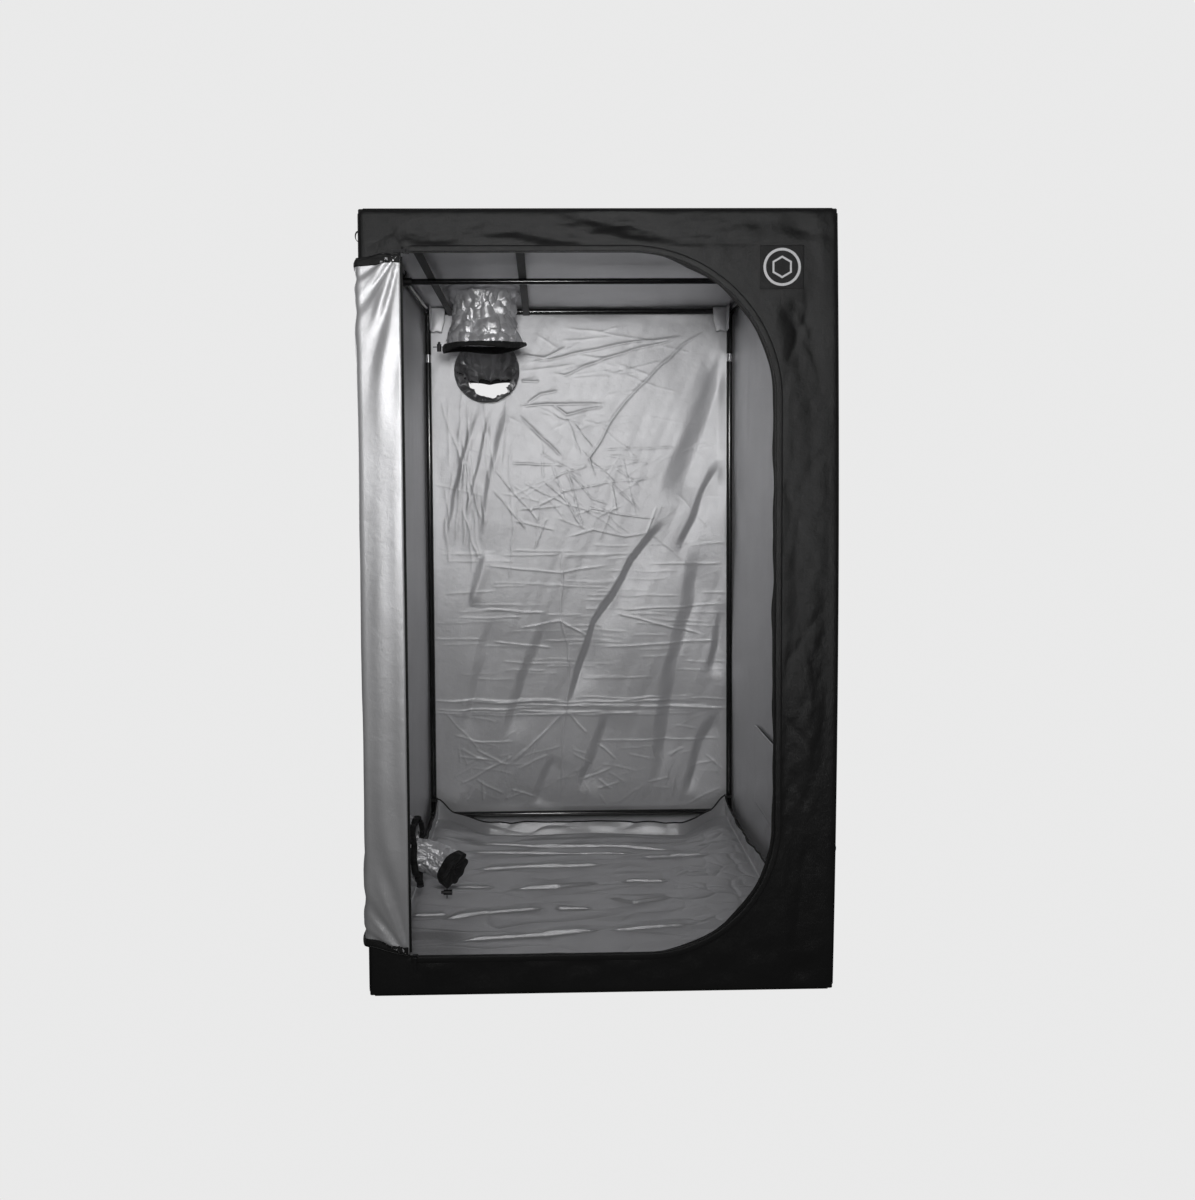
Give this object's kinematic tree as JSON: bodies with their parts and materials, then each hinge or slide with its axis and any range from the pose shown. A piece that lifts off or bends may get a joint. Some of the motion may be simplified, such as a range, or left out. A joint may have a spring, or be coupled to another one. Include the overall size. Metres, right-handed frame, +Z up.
{
  "type": "printer enclosure tent",
  "caption": "Full-height zip-up fabric enclosure tent with silver lining, tube frame, folding door, duct sleeves, hanging straps, sliding crossbar, vent flap and spill tray.",
  "frame": {"origin": "middle of the tent's floor, on the surface it stands on", "axes": "+Z up, +X to the right of someone facing the door, -Y towards that person"},
  "size_m": [1.214, 1.3828, 2],
  "materials": {
    "outer_fabric": "matt black coated polyester, reflective grey inside",
    "silver_lining": "metallised silver-grey film on cloth, soft sheen",
    "black_hem": "black bound hem",
    "webbing": "woven black webbing",
    "drawcord": "round black elastic cord",
    "vent_mesh": "fine black mesh",
    "black_tube": "gloss black powder coat",
    "bare_steel": "plain zinc plated",
    "spring_steel": "plain",
    "connector_plastic": "moulded black",
    "lock_plastic": "moulded black",
    "zip_coil": "black nylon coil",
    "zip_metal": "dark plated zinc",
    "badge": "printed patch with a plain ring"
  },
  "bodies": {
    "root": {"badge_patch": "badge", "bottom_corner_connectors": "connector_plastic", "bottom_front_bar": "black_tube", "bottom_left_bar": "black_tube", "bottom_rear_bar": "black_tube", "bottom_right_bar": "black_tube", "cable_cuff_cord": "drawcord", "cable_lock_barrel": "lock_plastic", "cable_lock_spring": "spring_steel", "cable_sleeve": "silver_lining", "cable_sleeve_cuff": "black_hem", "corner_pockets": "silver_lining", "floor_panel": "outer_fabric", "front_left_post": "black_tube", "front_panel": "outer_fabric", "front_right_post": "black_tube", "left_panel": "outer_fabric", "panel_zip": "zip_coil", "post_splices": "bare_steel", "rear_left_post": "black_tube", "rear_panel": "outer_fabric", "rear_right_post": "black_tube", "rear_sleeve": "silver_lining", "rear_sleeve_hem": "black_hem", "right_panel": "outer_fabric", "roof_drawcord": "drawcord", "roof_lock_barrel": "lock_plastic", "roof_lock_spring": "spring_steel", "roof_panel": "outer_fabric", "roof_sleeve": "silver_lining", "roof_sleeve_hem": "black_hem", "side_sleeve": "silver_lining", "side_sleeve_hem": "black_hem", "spill_tray": "silver_lining", "tie_loops": "webbing", "top_corner_connectors": "connector_plastic", "top_front_bar": "black_tube", "top_left_bar": "black_tube", "top_rear_bar": "black_tube", "top_right_bar": "black_tube", "tray_binding": "black_hem", "tray_ties": "webbing", "upper_post_tubes": "black_tube", "vent_mesh": "vent_mesh", "zip_draught_flap": "black_hem"},
    "door_strip": {"door_strip": "outer_fabric", "door_strip_zip": "zip_coil"},
    "door_main": {"door_main": "outer_fabric", "door_main_zip": "zip_coil"},
    "top_slider": {"top_zip_slider": "zip_metal"},
    "top_tab": {"top_pull_tab": "zip_metal"},
    "bottom_slider": {"bottom_zip_slider": "zip_metal"},
    "bottom_tab": {"bottom_pull_tab": "zip_metal"},
    "left_strap": {"left_hanging_strap": "webbing"},
    "right_strap": {"right_hanging_strap": "webbing"},
    "crossbar": {"crossbar": "black_tube", "crossbar_clips": "connector_plastic"},
    "vent_flap": {"vent_flap": "outer_fabric"},
    "roof_plunger": {"roof_lock_plunger": "lock_plastic"},
    "cable_plunger": {"cable_lock_plunger": "lock_plastic"}
  },
  "joints": [
    {"name": "door_hinge", "type": "hinge", "parent": "root", "child": "door_strip", "pos_m": [-0.49, -0.601, 1], "axis": [0, 0, 1], "range_deg": [0, 180]},
    {"name": "door_fold", "type": "hinge", "parent": "door_strip", "child": "door_main", "pos_m": [-0.603, -0.603, 1], "axis": [0, 0, 1], "range_deg": [0, 90]},
    {"name": "top_slider_run", "type": "slide", "parent": "root", "child": "top_slider", "axis": [1, 0, 0], "range_m": [0, 0.54]},
    {"name": "top_tab_flip", "type": "hinge", "parent": "top_slider", "child": "top_tab", "pos_m": [-0.479, -0.6049, 1.892], "axis": [0, 0, 1], "range_deg": [0, 180]},
    {"name": "bottom_slider_run", "type": "slide", "parent": "root", "child": "bottom_slider", "axis": [1, 0, 0], "range_m": [0, 0.54]},
    {"name": "bottom_tab_swing", "type": "hinge", "parent": "bottom_slider", "child": "bottom_tab", "pos_m": [-0.479, -0.6049, 0.104], "axis": [-1, 0, 0], "range_deg": [0, 100]},
    {"name": "left_strap_slide", "type": "slide", "parent": "root", "child": "left_strap", "axis": [1, 0, 0], "range_m": [-0.01, 0]},
    {"name": "right_strap_slide", "type": "slide", "parent": "root", "child": "right_strap", "axis": [1, 0, 0], "range_m": [0, 0.7]},
    {"name": "crossbar_slide", "type": "slide", "parent": "root", "child": "crossbar", "axis": [0, 1, 0], "range_m": [-0.48, 0.13]},
    {"name": "vent_flap_hinge", "type": "hinge", "parent": "root", "child": "vent_flap", "pos_m": [0.5965, 0.085, 0.466], "axis": [0, 1, 0], "range_deg": [0, 170]},
    {"name": "roof_lock_press", "type": "slide", "parent": "root", "child": "roof_plunger", "axis": [0, 0, -1], "range_m": [0, 0.006], "stiffness_N_per_m": 350, "springref_m": -0.003, "deforming": ["roof_lock_spring"]},
    {"name": "cable_lock_press", "type": "slide", "parent": "root", "child": "cable_plunger", "axis": [1, 0, 0], "range_m": [0, 0.006], "stiffness_N_per_m": 350, "springref_m": -0.003, "deforming": ["cable_lock_spring"]}
  ],
  "couplings": [
    {"joint": "door_fold", "follows": "door_hinge", "ratio": 0.5}
  ]
}
